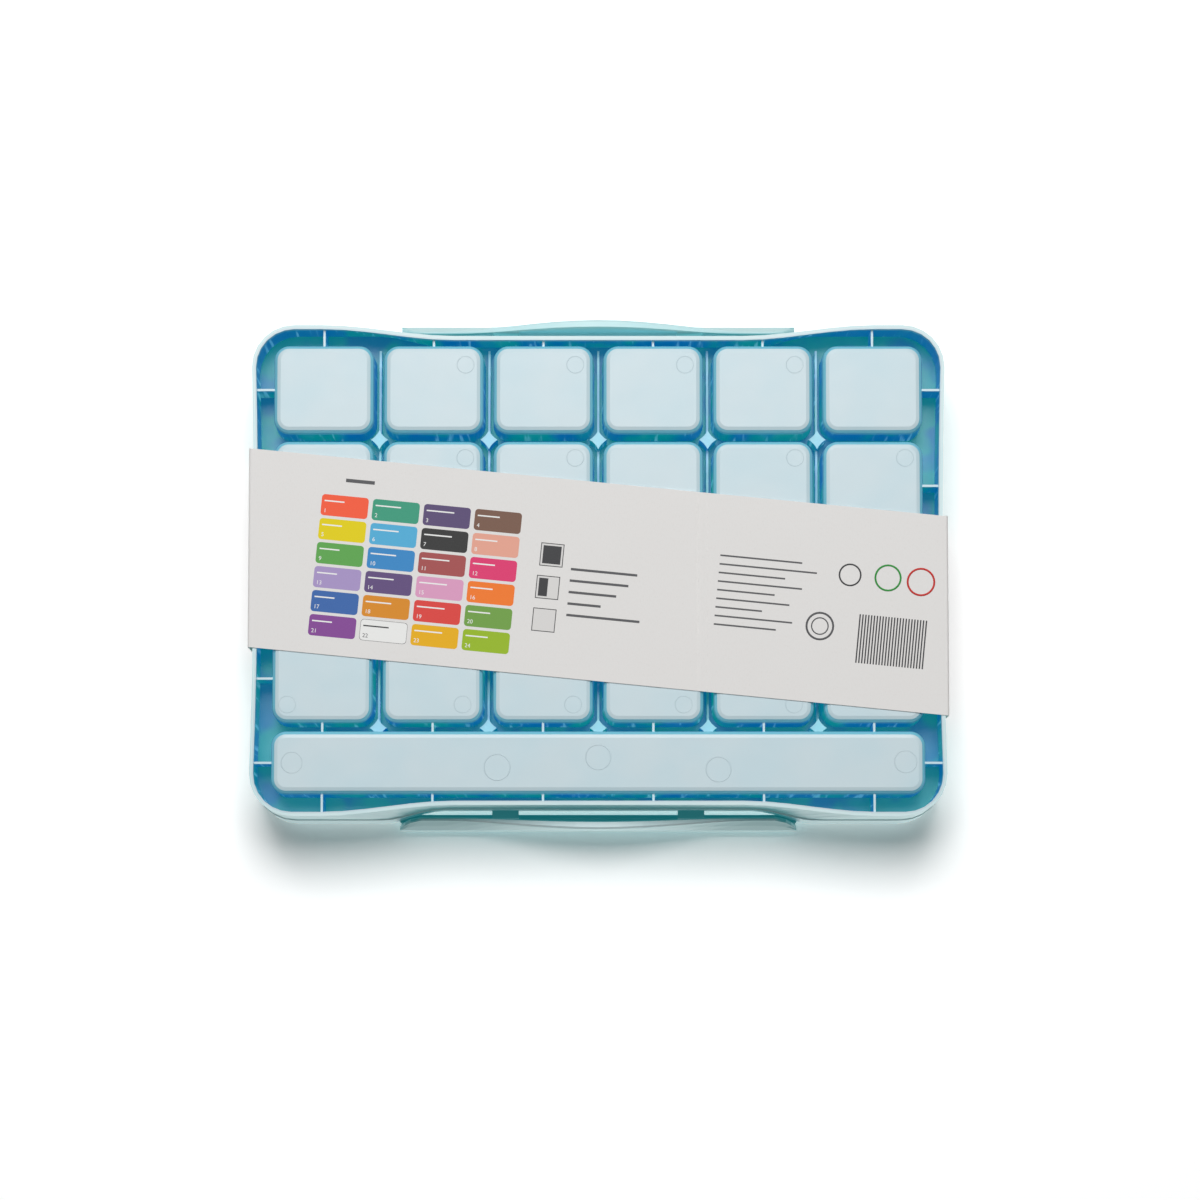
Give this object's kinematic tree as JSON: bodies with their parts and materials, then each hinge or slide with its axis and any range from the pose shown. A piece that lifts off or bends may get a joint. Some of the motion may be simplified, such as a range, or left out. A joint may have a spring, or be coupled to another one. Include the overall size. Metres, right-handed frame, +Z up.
{
  "type": "gouache paint set box",
  "caption": "Clip-shut rectangular plastic paint case: moulded wells holding sealed cups of paint, a brush compartment, a lift-out mixing palette, two latch flaps and a card band",
  "frame": {"origin": "middle of the footprint, at the underside of the card band that the case stands on", "axes": "+X along the long side, -Y towards the long brush compartment, +Z up"},
  "size_m": [0.315, 0.2322, 0.047],
  "materials": {
    "tray_plastic": "translucent mint, satin",
    "palette_plastic": "satin",
    "card": "printed card, matt",
    "film": "peel-off film",
    "cup_plastic": "clear thin plastic",
    "paint_01": "matt paint",
    "paint_02": "matt paint",
    "paint_03": "matt paint",
    "paint_04": "matt paint",
    "paint_05": "matt paint",
    "paint_06": "matt paint",
    "paint_07": "matt paint",
    "paint_08": "matt paint",
    "paint_09": "matt paint",
    "paint_10": "matt paint",
    "paint_11": "matt paint",
    "paint_12": "matt paint",
    "paint_13": "matt paint",
    "paint_14": "matt paint",
    "paint_15": "matt paint",
    "paint_16": "matt paint",
    "paint_17": "matt paint",
    "paint_18": "matt paint",
    "paint_19": "matt paint",
    "paint_20": "matt paint",
    "paint_21": "matt paint",
    "paint_22": "matt paint",
    "paint_23": "matt paint",
    "paint_24": "matt paint"
  },
  "bodies": {
    "case": {"case_tray": "tray_plastic", "mixing_palette": "palette_plastic", "seal_films": "film", "cup_01": "cup_plastic", "cup_02": "cup_plastic", "cup_03": "cup_plastic", "cup_04": "cup_plastic", "cup_05": "cup_plastic", "cup_06": "cup_plastic", "cup_07": "cup_plastic", "cup_08": "cup_plastic", "cup_09": "cup_plastic", "cup_10": "cup_plastic", "cup_11": "cup_plastic", "cup_12": "cup_plastic", "cup_13": "cup_plastic", "cup_14": "cup_plastic", "cup_15": "cup_plastic", "cup_16": "cup_plastic", "cup_17": "cup_plastic", "cup_18": "cup_plastic", "cup_19": "cup_plastic", "cup_20": "cup_plastic", "cup_21": "cup_plastic", "cup_22": "cup_plastic", "cup_23": "cup_plastic", "cup_24": "cup_plastic", "paint_01": "paint_01", "paint_02": "paint_02", "paint_03": "paint_03", "paint_04": "paint_04", "paint_05": "paint_05", "paint_06": "paint_06", "paint_07": "paint_07", "paint_08": "paint_08", "paint_09": "paint_09", "paint_10": "paint_10", "paint_11": "paint_11", "paint_12": "paint_12", "paint_13": "paint_13", "paint_14": "paint_14", "paint_15": "paint_15", "paint_16": "paint_16", "paint_17": "paint_17", "paint_18": "paint_18", "paint_19": "paint_19", "paint_20": "paint_20", "paint_21": "paint_21", "paint_22": "paint_22", "paint_23": "paint_23", "paint_24": "paint_24"},
    "lid": {"lid": "tray_plastic"},
    "front_flap": {"front_latch": "tray_plastic"},
    "rear_flap": {"rear_latch": "tray_plastic"},
    "band": {"belly_band": "card"}
  },
  "joints": [
    {"name": "band_slide", "type": "slide", "parent": "case", "child": "band", "axis": [0, 1, 0], "range_m": [-0.21, 0.21]},
    {"name": "lid_lift", "type": "slide", "parent": "case", "child": "lid", "axis": [0, 0, 1], "range_m": [0, 0.06], "deforming": ["belly_band"]},
    {"name": "front_flap_hinge", "type": "hinge", "parent": "lid", "child": "front_flap", "pos_m": [0, -0.1104, 0.04245], "axis": [-1, 0, 0], "range_deg": [0, 100]},
    {"name": "rear_flap_hinge", "type": "hinge", "parent": "lid", "child": "rear_flap", "pos_m": [0, 0.1104, 0.04245], "axis": [1, 0, 0], "range_deg": [0, 100]}
  ]
}
